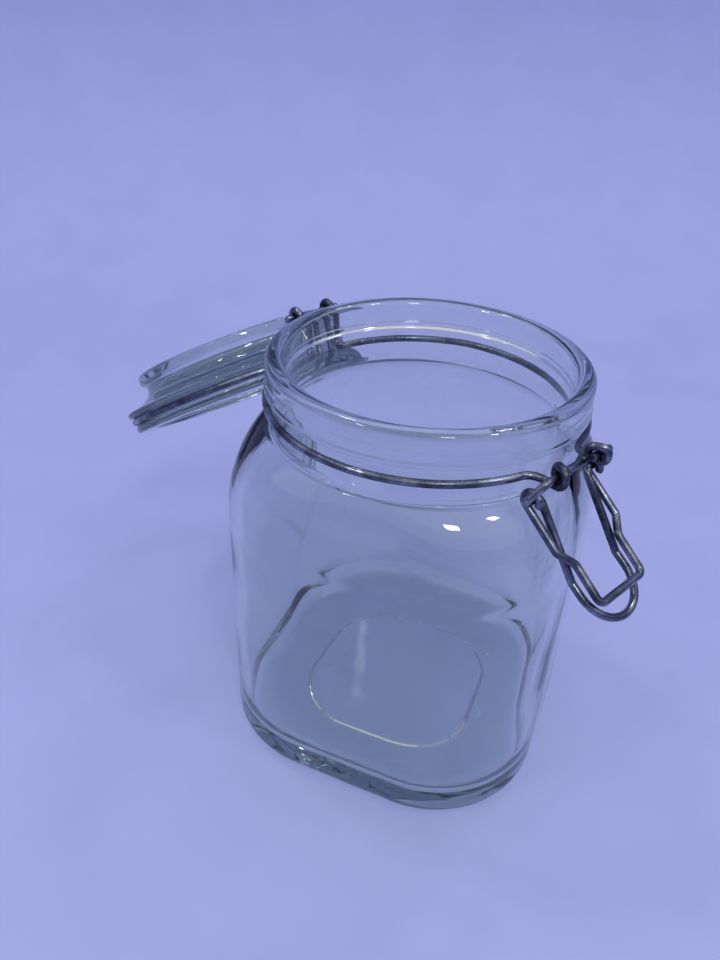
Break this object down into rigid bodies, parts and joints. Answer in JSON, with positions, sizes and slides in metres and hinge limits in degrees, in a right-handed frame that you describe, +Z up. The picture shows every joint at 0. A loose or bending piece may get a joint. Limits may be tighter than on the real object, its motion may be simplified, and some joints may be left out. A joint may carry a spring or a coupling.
{
  "type": "lidded glass canister",
  "caption": "Rounded-square clear glass storage jar with a hinged glass lid on a bent-wire collar and an over-centre wire clasp, drawn with the lid swung open.",
  "frame": {"origin": "centre of the foot, on the surface that the jar stands on", "axes": "+Z up along the jar's axis, -Y towards the clasp, +Y towards the lid hinge; the body's flats are turned 24 degrees against the clasp, as found"},
  "size_m": [0.1216, 0.2173, 0.138],
  "materials": {
    "clear_glass": "pressed clear soda-lime glass",
    "steel_wire": "drawn steel wire, dulled by use"
  },
  "bodies": {
    "jar": {"jar_body": "clear_glass"},
    "collar": {"neck_ring": "steel_wire"},
    "lid": {"lid_glass": "clear_glass", "lid_ring": "steel_wire"},
    "lever": {"clasp_lever": "steel_wire"},
    "link": {"clasp_link": "steel_wire"}
  },
  "joints": [
    {"name": "collar_turn", "type": "hinge", "parent": "jar", "child": "collar", "pos_m": [0, 0, 0.1236], "axis": [0, 0, 1], "continuous": true},
    {"name": "lid_swing", "type": "hinge", "parent": "collar", "child": "lid", "pos_m": [0, 0.05504, 0.1335], "axis": [1, 0, 0], "range_deg": [0, 214]},
    {"name": "lever_lift", "type": "hinge", "parent": "collar", "child": "lever", "pos_m": [0, -0.0555, 0.12598], "axis": [-1, 0, 0], "range_deg": [0, 90]},
    {"name": "link_swing", "type": "hinge", "parent": "lever", "child": "link", "pos_m": [0, -0.05199, 0.11879], "axis": [-1, 0, 0], "range_deg": [0, 60]}
  ]
}
